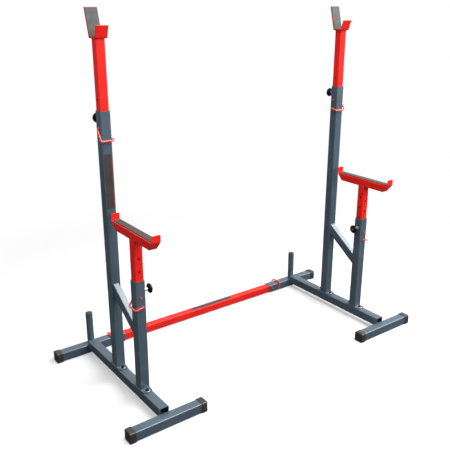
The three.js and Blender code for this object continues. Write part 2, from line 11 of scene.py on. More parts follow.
import bmesh
import bpy
from mathutils import Euler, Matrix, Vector


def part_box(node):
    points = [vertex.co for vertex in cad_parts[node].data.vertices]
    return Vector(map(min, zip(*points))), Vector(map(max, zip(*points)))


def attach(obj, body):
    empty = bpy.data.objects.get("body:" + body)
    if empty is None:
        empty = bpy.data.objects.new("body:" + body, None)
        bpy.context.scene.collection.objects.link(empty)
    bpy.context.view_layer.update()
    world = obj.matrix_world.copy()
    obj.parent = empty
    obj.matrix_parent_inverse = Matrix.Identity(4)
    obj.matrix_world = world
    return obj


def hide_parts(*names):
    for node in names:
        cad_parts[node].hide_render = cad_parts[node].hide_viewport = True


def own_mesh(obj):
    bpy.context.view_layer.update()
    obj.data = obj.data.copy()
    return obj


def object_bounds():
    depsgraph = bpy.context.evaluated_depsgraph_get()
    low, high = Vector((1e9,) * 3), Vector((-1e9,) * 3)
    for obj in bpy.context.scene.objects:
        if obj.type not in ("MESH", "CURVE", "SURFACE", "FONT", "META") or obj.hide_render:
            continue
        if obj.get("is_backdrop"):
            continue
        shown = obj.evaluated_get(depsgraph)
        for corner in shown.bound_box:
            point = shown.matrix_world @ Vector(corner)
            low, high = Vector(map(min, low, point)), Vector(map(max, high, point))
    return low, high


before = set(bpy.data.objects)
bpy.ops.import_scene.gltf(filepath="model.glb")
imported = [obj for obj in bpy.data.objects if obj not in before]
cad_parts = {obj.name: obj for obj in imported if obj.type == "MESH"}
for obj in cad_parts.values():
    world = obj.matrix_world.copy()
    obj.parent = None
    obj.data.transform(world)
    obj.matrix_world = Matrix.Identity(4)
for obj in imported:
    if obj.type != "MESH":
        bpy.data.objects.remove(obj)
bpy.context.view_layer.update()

# %% [markdown]
# ## The camera
# The photograph is taken from the front left, above the height of the hooks. Fitting the
# stand's edges to the picture gives the place, the turn and the focal length, so the camera
# is simply put there. It is not shifted and has no depth of field.

# %% Camera
def mm(*values):
    """Millimetres to metres."""
    return Vector([value / 1000 for value in values])


sensor_width = 36
focal_length = 50.11
camera_data = bpy.data.cameras.new("photo_camera")
camera_data.sensor_width = sensor_width
camera_data.lens = focal_length
camera = bpy.data.objects.new("photo_camera", camera_data)
camera.location = mm(-1559.1, -2006.6, 1455.6)
camera.rotation_euler = Euler([math.radians(angle) for angle in (90 - 19.39, 0, -36.26)])
bpy.context.scene.collection.objects.link(camera)
bpy.context.scene.camera = camera
bpy.context.scene.view_settings.view_transform = "Standard"
print("camera at", [round(v, 3) for v in camera.location])

# %% [markdown]
# ## One helper for nodes, one for colours
# Every finish below is a small tree of shader nodes. A single function adds a node, sets it
# and links its inputs, so each finish reads as a list. A Mix node keeps its sockets for colours
# beside those for other kinds of value, so they are called by number: 6 and 7 go in and 2
# comes out. Colours are written as sRGB hex values, as on a paint card, and turned to the
# linear values that the renderer works in.

# %% Node and colour helpers
def linear(hex_colour):
    """An sRGB hex colour as linear red, green, blue and alpha."""
    shares = [int(hex_colour[i:i + 2], 16) / 255 for i in (1, 3, 5)]
    return [s / 12.92 if s <= 0.04045 else ((s + 0.055) / 1.055) ** 2.4 for s in shares] + [1]


def add(tree, kind, inputs=None, **settings):
    """Adds a node. Inputs are values, or the outputs of other nodes to link."""
    node = tree.nodes.new("ShaderNode" + kind)
    for name, value in settings.items():
        setattr(node, name, value)
    for socket, value in (inputs or {}).items():
        if isinstance(value, bpy.types.NodeSocket):
            tree.links.new(value, node.inputs[socket])
        else:
            node.inputs[socket].default_value = value
    return node


def new_finish(name):
    """An empty material, its node tree, and the Object coordinates that patterns read."""
    material = bpy.data.materials.new(name)
    material.use_nodes = True
    tree = material.node_tree
    tree.nodes.clear()
    return material, tree, add(tree, "TexCoord").outputs["Object"]


def close_finish(tree, surface):
    """Links a shader to the material's output."""
    add(tree, "OutputMaterial", {"Surface": surface.outputs[0]})


def per_metre(size_mm):
    """A pattern's scale from the real size of its features."""
    return 1000 / size_mm


slate_tones = ("#42535f", "#4a5c69")
print("slate blue in linear values:", [round(v, 3) for v in linear(slate_tones[0])])

# %% [markdown]
# ## Powder coat
# The tubes are painted with powder that melts into a film: an even colour, a soft gloss, and
# a faint waviness called orange peel, about a millimetre across. At the picture's size a
# pixel is 3 mm, so the peel is drawn 2.5 mm wide and very shallow. Cloudy shifts in tone a
# hand wide, fine specks, and a slightly duller gloss in places where hands and cloths have
# rubbed, keep long tubes from looking like one flat colour. Both the slate blue and the red
# are this finish, so one function mixes it in any colour.

# %% Powder coat
def powder_coat(name, deep, light, gloss, dull, shine):
    """A powder-coated steel finish between two tones and two roughnesses."""
    material, tree, place = new_finish(name)
    clouds = add(tree, "TexNoise", {"Vector": place, "Scale": per_metre(110), "Detail": 3.0})
    grains = add(tree, "TexNoise", {"Vector": place, "Scale": per_metre(1.6), "Detail": 2.0})
    peel = add(tree, "TexNoise", {"Vector": place, "Scale": per_metre(2.5), "Detail": 1.0})
    rubbed = add(tree, "TexNoise", {"Vector": place, "Scale": per_metre(45), "Detail": 4.0})
    tone = add(tree, "MapRange", {
        "Value": clouds.outputs["Fac"], "From Min": 0.35, "From Max": 0.65,
    })
    colour = add(tree, "Mix", {
        "Factor": tone.outputs["Result"], 6: linear(deep), 7: linear(light),
    }, data_type="RGBA")
    speck = add(tree, "MapRange", {
        "Value": grains.outputs["Fac"], "To Min": 0.96, "To Max": 1.04,
    })
    grained = add(tree, "HueSaturation", {
        "Value": speck.outputs["Result"], "Color": colour.outputs[2],
    })
    roughness = add(tree, "MapRange", {
        "Value": rubbed.outputs["Fac"], "From Min": 0.3, "From Max": 0.7,
        "To Min": gloss, "To Max": dull,
    })
    bump = add(tree, "Bump", {
        "Height": peel.outputs["Fac"], "Strength": 0.03, "Distance": 0.0003,
    })
    close_finish(tree, add(tree, "BsdfPrincipled", {
        "Base Color": grained.outputs["Color"], "Roughness": roughness.outputs["Result"],
        "Normal": bump.outputs["Normal"], "IOR": 1.5, "Specular IOR Level": shine,
    }))
    return material


slate_powder_coat = powder_coat("Slate powder coat on steel", *slate_tones, 0.17, 0.27, 0.6)
red_powder_coat = powder_coat("Red powder coat on steel", "#e6241e", "#ee2a23", 0.17, 0.25, 0.18)
print("two powder coats")

# %% [markdown]
# ## Dipped rod, moulded plastic and rubber
# The clips are 7 mm steel rod dipped in soft red vinyl, so they are glossier and more orange
# than the tubes. The foot caps are moulded polyethylene: brown-black, with the fine spark
# grain of the mould. The pads are calendered rubber, dull and slightly mottled, with a fine
# pebbled face. The pull knobs are polished nylon, nearly black.

# %% Vinyl, polyethylene, rubber and nylon
def moulded(name, deep, light, grain_mm, grain_depth, gloss, dull, haze_mm, **shader):
    """A plastic or rubber finish: mottled tone, fine grain and an uneven gloss."""
    material, tree, place = new_finish(name)
    haze = add(tree, "TexNoise", {"Vector": place, "Scale": per_metre(haze_mm), "Detail": 4.0})
    pebbles = add(tree, "TexVoronoi", {"Vector": place, "Scale": per_metre(grain_mm)})
    fine = add(tree, "TexNoise", {"Vector": place, "Scale": per_metre(grain_mm), "Detail": 2.0})
    tone = add(tree, "MapRange", {
        "Value": haze.outputs["Fac"], "From Min": 0.3, "From Max": 0.7,
    })
    colour = add(tree, "Mix", {
        "Factor": tone.outputs["Result"], 6: linear(deep), 7: linear(light),
    }, data_type="RGBA")
    roughness = add(tree, "MapRange", {
        "Value": fine.outputs["Fac"], "From Min": 0.3, "From Max": 0.7,
        "To Min": gloss, "To Max": dull,
    })
    relief = add(tree, "Math", {0: pebbles.outputs["Distance"], 1: fine.outputs["Fac"]},
                 operation="ADD")
    bump = add(tree, "Bump", {
        "Height": relief.outputs[0], "Strength": 0.25, "Distance": grain_depth / 1000,
    })
    close_finish(tree, add(tree, "BsdfPrincipled", {
        "Base Color": colour.outputs[2], "Roughness": roughness.outputs["Result"],
        "Normal": bump.outputs["Normal"], **shader,
    }))
    return material


red_vinyl = moulded("Red vinyl dip on rod", "#e6432f", "#ee5340", 3, 0.04, 0.18, 0.28, 30,
                    **{"IOR": 1.52, "Specular IOR Level": 0.5})
cap_polyethylene = moulded("Black moulded polyethylene", "#2a2725", "#36322e", 1.8, 0.25,
                           0.42, 0.56, 25, **{"IOR": 1.51, "Specular IOR Level": 0.4})
grey_rubber = moulded("Grey calendered rubber", "#424544", "#4e5150", 2.2, 0.3, 0.72, 0.9, 18,
                      **{"IOR": 1.52, "Specular IOR Level": 0.3})
dark_rubber = moulded("Dark calendered rubber", "#3a3532", "#46403c", 2.2, 0.3, 0.7, 0.88, 18,
                      **{"IOR": 1.52, "Specular IOR Level": 0.3})
knob_polyamide = moulded("Black polished nylon", "#060607", "#0b0b0c", 2.5, 0.08, 0.16, 0.26, 20,
                         **{"IOR": 1.53, "Specular IOR Level": 0.2})
panel_film = moulded("Satin vinyl film", "#332e2e", "#3d3634", 4, 0.05, 0.34, 0.44, 60,
                     **{"IOR": 1.5, "Specular IOR Level": 0.4})
stripe_film = moulded("Red satin film", "#7c2f2a", "#883630", 4, 0.05, 0.34, 0.44, 60,
                      **{"IOR": 1.5, "Specular IOR Level": 0.4})
print("vinyl, polyethylene, two rubbers, nylon and film")

# %% [markdown]
# ## Bare and plated metal
# The pull pins and washers are zinc-plated steel: bright, slightly milky, with a faint cold
# and warm play of the chromate and fine turning marks round them. The springs are drawn wire
# and the bolts have a black oxide. All are metals, so the colour is that of the reflection,
# and the IOR stays at its default.

# %% Zinc, wire and black oxide
def bare_metal(name, cold, warm, gloss, dull, mark_mm):
    """A plated or drawn metal with fine marks and a slow shift in tone."""
    material, tree, place = new_finish(name)
    clouds = add(tree, "TexNoise", {"Vector": place, "Scale": per_metre(9), "Detail": 3.0})
    stretched = add(tree, "Mapping", {"Vector": place, "Scale": (1.0, 1.0, 6.0)})
    marks = add(tree, "TexNoise", {
        "Vector": stretched.outputs["Vector"], "Scale": per_metre(mark_mm), "Detail": 3.0,
    })
    colour = add(tree, "Mix", {
        "Factor": clouds.outputs["Fac"], 6: linear(cold), 7: linear(warm),
    }, data_type="RGBA")
    roughness = add(tree, "MapRange", {
        "Value": marks.outputs["Fac"], "From Min": 0.3, "From Max": 0.7,
        "To Min": gloss, "To Max": dull,
    })
    bump = add(tree, "Bump", {
        "Height": marks.outputs["Fac"], "Strength": 0.15, "Distance": 0.0001,
    })
    close_finish(tree, add(tree, "BsdfPrincipled", {
        "Base Color": colour.outputs[2], "Roughness": roughness.outputs["Result"],
        "Normal": bump.outputs["Normal"], "Metallic": 1.0,
    }))
    return material


zinc_plated_steel = bare_metal("Zinc-plated steel", "#c3c8cc", "#d2cfc4", 0.22, 0.36, 1.5)
spring_steel = bare_metal("Drawn spring wire", "#83868a", "#989690", 0.28, 0.4, 0.8)
black_oxide = bare_metal("Black oxide on steel", "#1c1d20", "#26241f", 0.3, 0.45, 1.5)
print("zinc, spring wire and black oxide")

# %% [markdown]
# ## Floor, light and background
# The studio is white: a pale floor that takes soft shadows and runs out into a white
# background. A long lamp overhead lights the tops, one at the front the fronts, one at the
# left the red sides, and a small one behind rims the far edges. A wide sheet above the front
# right is seen only in the gloss: the slanted tops mirror it and the rolled edges draw it out
# to thin bright lines. The lamps stay at a level where a colour looks as it is written. What
# the camera and reflections see of the background is a plain white of strength 1. Close to the
# stand, reflections and bounced light find the floor in a dark tone, so that low faces keep
# their colour.

# %% Floor
floor_size = 30
paper_white = 0.66
paper_lift = 0.29
bounce_tone = 0.09
seen_run_out = (1.0, 2.3)
gloss_run_out = (4.5, 9.0)
bpy.ops.object.select_all(action="DESELECT")
bpy.ops.mesh.primitive_plane_add(size=floor_size)
floor = bpy.context.object
floor.name = "studio_floor"
floor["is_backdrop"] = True


def runs_out(tree, reach, start, end):
    """Rises from 0 to 1 between two distances from the stand."""
    return add(tree, "MapRange", {
        "Value": reach.outputs["Value"], "From Min": start, "From Max": end,
    }, interpolation_type="SMOOTHSTEP").outputs["Result"]


floor_paint, tree, place = new_finish("White studio floor")
flat_place = add(tree, "VectorMath", {0: place, 1: (1.0, 1.0, 0.0)}, operation="MULTIPLY")
reach = add(tree, "VectorMath", {0: flat_place.outputs["Vector"]}, operation="LENGTH")
rays = add(tree, "LightPath")
seen = add(tree, "Math", {
    0: rays.outputs["Is Camera Ray"], 1: rays.outputs["Is Transmission Ray"],
}, operation="MAXIMUM")
direct = add(tree, "Math", {
    0: seen.outputs[0], 1: runs_out(tree, reach, *seen_run_out),
}, operation="MULTIPLY")
mirror = add(tree, "Math", {
    0: rays.outputs["Is Glossy Ray"], 1: runs_out(tree, reach, *gloss_run_out),
}, operation="MULTIPLY")
white = add(tree, "Math", {0: direct.outputs[0], 1: mirror.outputs[0]}, operation="MAXIMUM")
paper_tone = add(tree, "MapRange", {
    "Value": seen.outputs[0], "To Min": bounce_tone, "To Max": paper_white,
})
paper = add(tree, "BsdfDiffuse", {"Color": paper_tone.outputs["Result"]})
lift = add(tree, "Math", {0: seen.outputs[0], 1: paper_lift}, operation="MULTIPLY")
lifted = add(tree, "Emission", {"Strength": lift.outputs[0]})
near = add(tree, "AddShader", {0: paper.outputs[0], 1: lifted.outputs[0]})
glow = add(tree, "Emission", {"Strength": 1.0})
close_finish(tree, add(tree, "MixShader", {
    0: white.outputs[0], 1: near.outputs[0], 2: glow.outputs[0],
}))
floor.data.materials.append(floor_paint)
print("floor:", floor_size, "m wide")

# %% World and lamps
world = bpy.data.worlds.new("white_studio")
bpy.context.scene.world = world
world.use_nodes = True
tree = world.node_tree
tree.nodes.clear()
ambient_strength = 0.18
rays = add(tree, "LightPath")
seen = add(tree, "Math", {
    0: rays.outputs["Is Camera Ray"], 1: rays.outputs["Is Glossy Ray"],
}, operation="MAXIMUM")
seen = add(tree, "Math", {0: seen.outputs[0], 1: rays.outputs["Is Transmission Ray"]},
           operation="MAXIMUM")
strength = add(tree, "MapRange", {
    "Value": seen.outputs[0], "To Min": ambient_strength, "To Max": 1.0,
})
sky = add(tree, "Background", {"Color": (1, 1, 1, 1), "Strength": strength.outputs["Result"]})
add(tree, "OutputWorld", {"Surface": sky.outputs[0]})


def softbox(name, place, target, width, height, power, lights="both"):
    """A rectangular lamp that faces a point, and lights surfaces, their gloss or both."""
    data = bpy.data.lights.new(name, "AREA")
    data.shape = "RECTANGLE"
    data.size = width
    data.size_y = height
    data.energy = power
    lamp = bpy.data.objects.new(name, data)
    lamp.location = place
    lamp.rotation_euler = (Vector(target) - Vector(place)).to_track_quat("-Z", "Y").to_euler()
    lamp.visible_camera = False
    lamp.visible_diffuse = lights != "gloss"
    lamp.visible_glossy = lights != "surface"
    bpy.context.scene.collection.objects.link(lamp)


softbox("top_softbox", (1.6, -1.05, 3.5), (1.6, -1.05, 0), 5.2, 1.7, 235, "surface")
softbox("front_softbox", (1.2, -3.2, 2.1), (1.2, 0, 0.3), 3.6, 1.0, 95, "surface")
softbox("gloss_sheet", (2.5, -1.9, 3.2), (2.5, -0.2, 0.2), 5.6, 4.0, 700, "gloss")
softbox("rim_softbox", (-1.7, 3.2, 2.5), (-0.6, 0, 0.6), 1.8, 1.2, 20)
softbox("left_softbox", (-2.2, -0.8, 2.0), (-0.6, 0, 1.2), 0.6, 0.9, 19, "surface")
print("world and five lamps")

# %% [markdown]
# ## A dark card for the gloss
# In an all-white room the left faces would mirror white and look milky. Photographers stand a
# dark card beside the object, so one stands behind the left end here. It is seen only in the
# gloss: the camera doesn't see it, and it throws no shadow.

# %% Dark card
card_width, card_height, card_distance, card_tone = 6.0, 2.4, 2.9, 0.2
bpy.ops.object.select_all(action="DESELECT")
bpy.ops.mesh.primitive_plane_add(
    size=1, location=(-card_distance, card_distance, card_height / 2),
    rotation=(math.pi / 2, 0, math.pi / 4),
)
card = bpy.context.object
card.name = "dark_card"
card.scale = (card_width, card_height, 1)
card.visible_camera = card.visible_diffuse = card.visible_transmission = False
card.visible_shadow = False
card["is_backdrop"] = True
card_paint, tree, place = new_finish("Grey card")
close_finish(tree, add(tree, "Emission", {"Strength": card_tone}))
card.data.materials.append(card_paint)
print("one dark card for the gloss of the left faces")

# %% [markdown]
# ## Working by hand, in code
# A piece starts as a primitive at its real place. In edit mode its faces, edges or corners
# are picked by where they are, because there is no mouse, and then bevelled, extruded or cut.
# Modifiers finish it and are applied. The object's own place is then written into its mesh,
# as for every CAD node. Places within a tenth of a millimetre count as the same, and so do
# directions within 2.5 degrees.

# %% Selecting and settling
axes = {"X": Vector((1, 0, 0)), "Y": Vector((0, 1, 0)), "Z": Vector((0, 0, 1))}
turn_to = {"X": (0, math.pi / 2, 0), "Y": (-math.pi / 2, 0, 0), "Z": (0, 0, 0)}
same_place = 1e-4
same_way = math.cos(math.radians(2.5))
same_corner = 1e-6


def choose(*pieces):
    """Selects only these pieces, with the last one active."""
    bpy.ops.object.select_all(action="DESELECT")
    for piece in pieces:
        piece.select_set(True)
    bpy.context.view_layer.objects.active = pieces[-1]


def settle(piece, name=None):
    """Writes a piece's place, turn and scale into its mesh."""
    choose(piece)
    bpy.ops.object.transform_apply(location=True, rotation=True, scale=True)
    if name:
        piece.name = name
        piece.data.name = name
    return piece


def anything(at, way):
    """The test that everything passes."""
    return True


def lies_along(line):
    """A test for edges and faces that point along a line, either way."""
    return lambda at, way: abs(way.dot(line)) > same_way


def pick(piece, kind, test=anything):
    """In edit mode, selects the faces, edges or corners whose middle and way pass a test."""
    if piece.mode != "EDIT":
        choose(piece)
        bpy.ops.object.mode_set(mode="EDIT")
    bpy.ops.mesh.select_mode(type=kind)
    bpy.ops.mesh.select_all(action="DESELECT")
    mesh = bmesh.from_edit_mesh(piece.data)
    if kind == "FACE":
        found = [f for f in mesh.faces if test(f.calc_center_median(), f.normal)]
    elif kind == "EDGE":
        ends = [(e, *(v.co for v in e.verts)) for e in mesh.edges]
        found = [e for e, a, b in ends if test((a + b) / 2, (b - a).normalized())]
    else:
        found = [v for v in mesh.verts if test(v.co, v.normal)]
    for element in found:
        element.select_set(True)
    bmesh.update_edit_mesh(piece.data)


def leave():
    """Back from edit mode to object mode."""
    bpy.ops.object.mode_set(mode="OBJECT")


def shape(piece, kind, **settings):
    """Adds a modifier, sets it and applies it."""
    choose(piece)
    modifier = piece.modifiers.new(kind.title(), kind)
    for name, value in settings.items():
        setattr(modifier, name, value)
    bpy.ops.object.modifier_apply(modifier=modifier.name)


def soften(piece, width, over=40, segments=2):
    """Rounds the edges at which the surface turns by more than some degrees."""
    shape(piece, "BEVEL", width=width, segments=segments, limit_method="ANGLE",
          angle_limit=math.radians(over))


def face_outwards(piece):
    """Merges doubled corners and turns every face outwards."""
    pick(piece, "VERT")
    bpy.ops.mesh.remove_doubles(threshold=same_corner)
    bpy.ops.mesh.select_all(action="SELECT")
    bpy.ops.mesh.normals_make_consistent(inside=False)
    leave()


# %% [markdown]
# ## Handing a piece to the frame
# The two units are mirror images, so each piece is modelled once, on the left, and its
# mirrored twin gets a mesh of its own. Smooth shading by angle keeps real edges crisp, and
# weighted normals keep the big faces flat beside their rolled corners. The piece then rides
# on its CAD body and stands for the CAD nodes that it replaces.

# %% Finishing and mirroring
made = []
sharp_angle, face_weight = 38, 60
slate = (slate_powder_coat, "slate_powder_coat")
red = (red_powder_coat, "red_powder_coat")
zinc = (zinc_plated_steel, "zinc_plated_steel")


def polish(piece, finish):
    """Shades a finished piece and gives it its material."""
    face_outwards(piece)
    choose(piece)
    bpy.ops.object.shade_smooth_by_angle(angle=math.radians(sharp_angle))
    shape(piece, "WEIGHTED_NORMAL", weight=face_weight, keep_sharp=True)
    piece.data.materials.clear()
    piece.data.materials.append(finish)


def mirrored(piece):
    """The right-hand twin of a left-hand piece, with its own mesh."""
    choose(piece)
    bpy.ops.object.duplicate(linked=False)
    twin = bpy.context.object
    twin.scale.x = -1
    return settle(twin, piece.name.replace("left_", "right_"))


def hand_over(piece, body, nodes, finish, slot):
    """Finishes a left piece and its right twin and joins both to the frame."""
    pair = {"left": piece, "right": mirrored(piece)}
    for side, copy in pair.items():
        polish(copy, finish)
        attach(copy, f"{side}_{body}")
        if nodes:
            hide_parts(*[f"{side}_{node}" for node in nodes])
        made.append(copy.name)
    return pair


# %% [markdown]
# ## Box tube
# Cold-rolled square tube has rounded corners, an even wall and open ends. A cube is stretched
# over the CAD node's box, its four long edges are bevelled to the rolled radius, the end faces
# are deleted, and Solidify grows the wall inwards. Tubes with slanted ends are bisected while
# they are still a thin sheet, so that the wall stays even. Holes are cut by a Boolean with
# all the drills joined in one mesh.

# %% Box tube and drilling
tube_corner = 0.004
tube_wall = 0.002
hole_diameter = 0.009
through_depth = 0.050
one_wall_depth = 0.012


def block(name, low, high, turn=(0, 0, 0)):
    """A cube stretched between two corners and turned about its middle."""
    low, high = Vector(low), Vector(high)
    bpy.ops.object.select_all(action="DESELECT")
    bpy.ops.mesh.primitive_cube_add(size=1, location=(low + high) / 2, rotation=turn)
    piece = bpy.context.object
    piece.scale = high - low
    return settle(piece, name)


def box_tube(name, low, high, axis, corner=tube_corner, turn=(0, 0, 0), cuts=()):
    """A hollow square tube along one axis, with flat or slanted ends."""
    along = Euler(turn).to_matrix() @ axes[axis]
    tube = block(name, low, high, turn)
    pick(tube, "EDGE", lies_along(along))
    bpy.ops.mesh.bevel(offset=corner, segments=6, affect="EDGES")
    pick(tube, "FACE", lies_along(along))
    bpy.ops.mesh.delete(type="FACE")
    for place, away in cuts:
        bpy.ops.mesh.select_all(action="SELECT")
        bpy.ops.mesh.bisect(plane_co=place, plane_no=Vector(away).normalized(),
                            clear_outer=True, threshold=same_corner)
    leave()
    shape(tube, "SOLIDIFY", thickness=tube_wall, offset=-1, use_even_offset=True)
    return tube


def drill(piece, places, axis, depth=through_depth):
    """Cuts round holes along one axis, each centred on its place."""
    bits = []
    for place in places:
        bpy.ops.object.select_all(action="DESELECT")
        bpy.ops.mesh.primitive_cylinder_add(
            vertices=28, radius=hole_diameter / 2, depth=depth, location=place,
            rotation=turn_to[axis],
        )
        bits.append(bpy.context.object)
    if len(bits) > 1:
        choose(*bits)
        bpy.ops.object.join()
    bit = bpy.context.object
    shape(piece, "BOOLEAN", operation="DIFFERENCE", object=bit, solver="EXACT")
    bpy.data.objects.remove(bit)


def middle_of(node):
    """The middle of a CAD node's box."""
    low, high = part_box(node)
    return (low + high) / 2


# %% Feet and spine
bar_pin_offset = 0.138
clip_pin = middle_of("left_rear_foot")
clip_pin.x += bar_pin_offset
for node, axis in (("front_foot", "X"), ("rear_foot", "X"), ("spine", "Y")):
    tube = box_tube(f"left_{node}_tube", *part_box(f"left_{node}"), axis)
    if node == "rear_foot":
        drill(tube, [clip_pin], "Y")
    hand_over(tube, "base", [node], *slate)
print("feet and spine:", len(made), "pieces")

# %% [markdown]
# ## Posts on flanges
# Each post is a tube welded upright on a small plate with rounded ends, which is bolted to
# the spine. The plate is a second block: its four upright edges are bevelled far enough to
# round the ends, and it is joined to the tube. One cross hole takes the rod clip, and a hole
# in one wall takes the pull pin.

# %% Posts
post_half = 0.02
flange_thickness = 0.004
flange_corner = 0.013
sheared_edge = 0.0006
rack_pin_height = 1.040
rack_plunger_height = 1.070
spotter_pin_height = 0.453
spotter_plunger_height = 0.471


def post(node, pin_axis, pin_height, plunger_axis, plunger_height):
    """A flanged post with its clip hole and its pull pin hole."""
    low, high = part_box(f"left_{node}")
    y = (low.y + high.y) / 2
    start = (low.x, y - post_half, low.z + flange_thickness / 2)
    tube = box_tube(f"left_{node}_tube", start, (high.x, y + post_half, high.z), "Z")
    middle = Vector((middle_of(f"left_{node}").x, y, 0))
    drill(tube, [middle + Vector((0, 0, pin_height))], pin_axis)
    beside = middle + axes[plunger_axis] * post_half + Vector((0, 0, plunger_height))
    drill(tube, [beside], plunger_axis, one_wall_depth)
    plate = block("flange_plate", low, (high.x, high.y, low.z + flange_thickness))
    pick(plate, "EDGE", lies_along(axes["Z"]))
    bpy.ops.mesh.bevel(offset=flange_corner, segments=8, affect="EDGES")
    leave()
    soften(plate, sheared_edge)
    choose(plate, tube)
    bpy.ops.object.join()
    hand_over(tube, "base", [node], *slate)
    return middle


upright_middle = post("upright", "X", rack_pin_height, "Y", rack_plunger_height)
spotter_middle = post("spotter_post", "Y", spotter_pin_height, "X", spotter_plunger_height)
print("posts stand at y =", round(upright_middle.y, 4), "and", round(spotter_middle.y, 4))

# %% [markdown]
# ## Diagonal brace
# A flatter tube, 40 by 25 mm, props the short post against the tall one. It is drawn longer
# than it is, turned to its slope, and trimmed by the two planes of the posts' faces.

# %% Brace
brace_depth = 0.040
brace_corner = 0.003
brace_rise = 0.110
uncut_length = 0.4
brace_low, brace_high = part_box("left_brace")
brace_middle = (brace_low + brace_high) / 2
run = spotter_middle.y + post_half - (upright_middle.y - post_half)
slope = math.atan2(brace_rise, -run)
half = Vector((brace_high.x - brace_low.x, uncut_length, brace_depth)) / 2
brace = box_tube(
    "left_brace_tube", brace_middle - half, brace_middle + half, "Y", brace_corner,
    turn=(slope, 0, 0),
    cuts=[((0, brace_low.y, 0), (0, -1, 0)), ((0, brace_high.y, 0), (0, 1, 0))],
)
hand_over(brace, "base", ["brace"], *slate)
print("brace slope in degrees:", round(math.degrees(slope), 1))

# %% [markdown]
# ## Sliders and the cross bar
# The red tubes are made in the same way, a size smaller, with a row of holes 50 mm apart for
# the clips and, on one face, a second row for the pull pins. A hole below the one in use lets
# the slider go up a step, and a hole above it lets it go down. The cross bar's holes are
# 25 mm apart, so that the stand's width steps finely.

# %% Sliders
hole_pitch = 0.050
rack_steps_up, rack_steps_down = 4, 2
spotter_steps_up, spotter_steps_down = 3, 3


def hole_row(height, steps_up, steps_down):
    """The heights of a row's holes, from the height of the one in use."""
    return [height + hole_pitch * i for i in range(-steps_up, steps_down + 1)]


def slider(node, middle, pins, pin_axis, plungers, plunger_axis):
    """A telescoping tube with its two rows of holes."""
    low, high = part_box(f"left_{node}")
    tube = box_tube(f"left_{node}_tube", low, high, "Z")
    drill(tube, [middle + Vector((0, 0, z)) for z in pins], pin_axis)
    side = axes[plunger_axis] * (high.x - low.x) / 2
    beside = [middle + side + Vector((0, 0, z)) for z in plungers]
    drill(tube, beside, plunger_axis, one_wall_depth)
    return tube


rack_slider = slider(
    "rack_slider", upright_middle, hole_row(rack_pin_height, rack_steps_up, rack_steps_down), "X",
    hole_row(rack_plunger_height, rack_steps_up, rack_steps_down), "Y",
)
hand_over(rack_slider, "rack", ["rack_slider"], *red)
spotter_slider = slider(
    "spotter_slider", spotter_middle,
    hole_row(spotter_pin_height, spotter_steps_up, spotter_steps_down), "Y",
    hole_row(spotter_plunger_height, spotter_steps_up, spotter_steps_down), "X",
)
hand_over(spotter_slider, "spotter", ["spotter_slider"], *red)
print("sliders:", len(made), "pieces so far")

# %% Cross bar
bar_pitch = 0.025
bar_holes = 7
bar = box_tube("cross_bar_tube", *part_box("cross_bar"), "X")
bar_middle = middle_of("cross_bar")
first_hole = -clip_pin.x
places = [first_hole + bar_pitch * i for i in range(bar_holes)]
drill(bar, [bar_middle + Vector((x * side, 0, 0)) for x in places for side in (-1, 1)], "Y")
polish(bar, red_powder_coat)
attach(bar, "cross_bar")
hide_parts("cross_bar")
made.append(bar.name)
print("cross bar holes start at", round(first_hole, 3))

# %% [markdown]
# ## Bent plate
# The J-hook and the lips of the rest are flat bar bent in a press. The side view is drawn as
# a strip: a plane for the first leg, its far edge extruded leg by leg. Bevelling the edges at
# the corners gives the bends, Solidify gives the plate's thickness, and a small bevel rounds
# the sheared edges that catch the light.

# %% Bent plate
def bent_strip(name, corners, low_x, high_x, bend, end_corner=0.0):
    """A strip through corners given as (y, z), bent at each inner one."""
    points = [Vector((0, y, z)) for y, z in corners]
    middle_x = Vector(((low_x + high_x) / 2, 0, 0))
    leg = points[1] - points[0]
    bpy.ops.object.select_all(action="DESELECT")
    bpy.ops.mesh.primitive_plane_add(
        size=1, location=(points[0] + points[1]) / 2 + middle_x,
        rotation=(math.atan2(leg.z, leg.y), 0, 0),
    )
    strip = bpy.context.object
    strip.scale = (high_x - low_x, leg.length, 1)
    settle(strip, name)
    for here, there in zip(points[1:], points[2:]):
        pick(strip, "EDGE", lambda at, way: (at - middle_x - here).length < same_place)
        bpy.ops.mesh.extrude_region_move(TRANSFORM_OT_translate={"value": there - here})
    for before, here, there in zip(points, points[1:], points[2:]):
        half = (before - here).angle(there - here) / 2
        pick(strip, "EDGE", lambda at, way: (at - middle_x - here).length < same_place)
        bpy.ops.mesh.bevel(offset=bend / math.tan(half), segments=7, affect="EDGES")
    if end_corner:
        pick(strip, "VERT", lambda at, way: (at - points[-1]).yz.length < same_place)
        bpy.ops.mesh.bevel(offset=end_corner, segments=5, affect="VERTICES")
    leave()
    return strip


# %% J-hook
hook_low, hook_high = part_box("left_j_hook")
hook_plate, hook_bend = 0.004, 0.005
lip_reach, lip_rise = 0.036, 0.043
floor_front, floor_back = 0.022, 0.021
back_reach, back_rise = 0.047, 0.101
hook_floor = hook_low.z + hook_plate / 2
y = upright_middle.y
hook_side = [
    (y - lip_reach, hook_low.z + lip_rise), (y - floor_front, hook_floor),
    (y + floor_back, hook_floor), (y + back_reach, hook_low.z + back_rise),
]
hook = bent_strip("left_j_hook_plate", hook_side, hook_low.x, hook_high.x, hook_bend)
shape(hook, "SOLIDIFY", thickness=hook_plate, offset=0, use_even_offset=True)
soften(hook, sheared_edge)
hand_over(hook, "rack", ["j_hook"], *red)
print("hook plate", [round(v * 1000, 1) for v in hook_high - hook_low], "mm")

# %% [markdown]
# ## Rubber on the hook
# A strip of grey rubber lies in the hook, bent over its floor and up the back plate, so that
# the bar's knurl doesn't scrape the paint. It is bent in the same way as the plate, on a
# line that is moved inwards by half of both thicknesses. It is nearly as wide as the plate,
# its rims are moulded with a small round, and its upper end has a wider slope that catches
# the light.

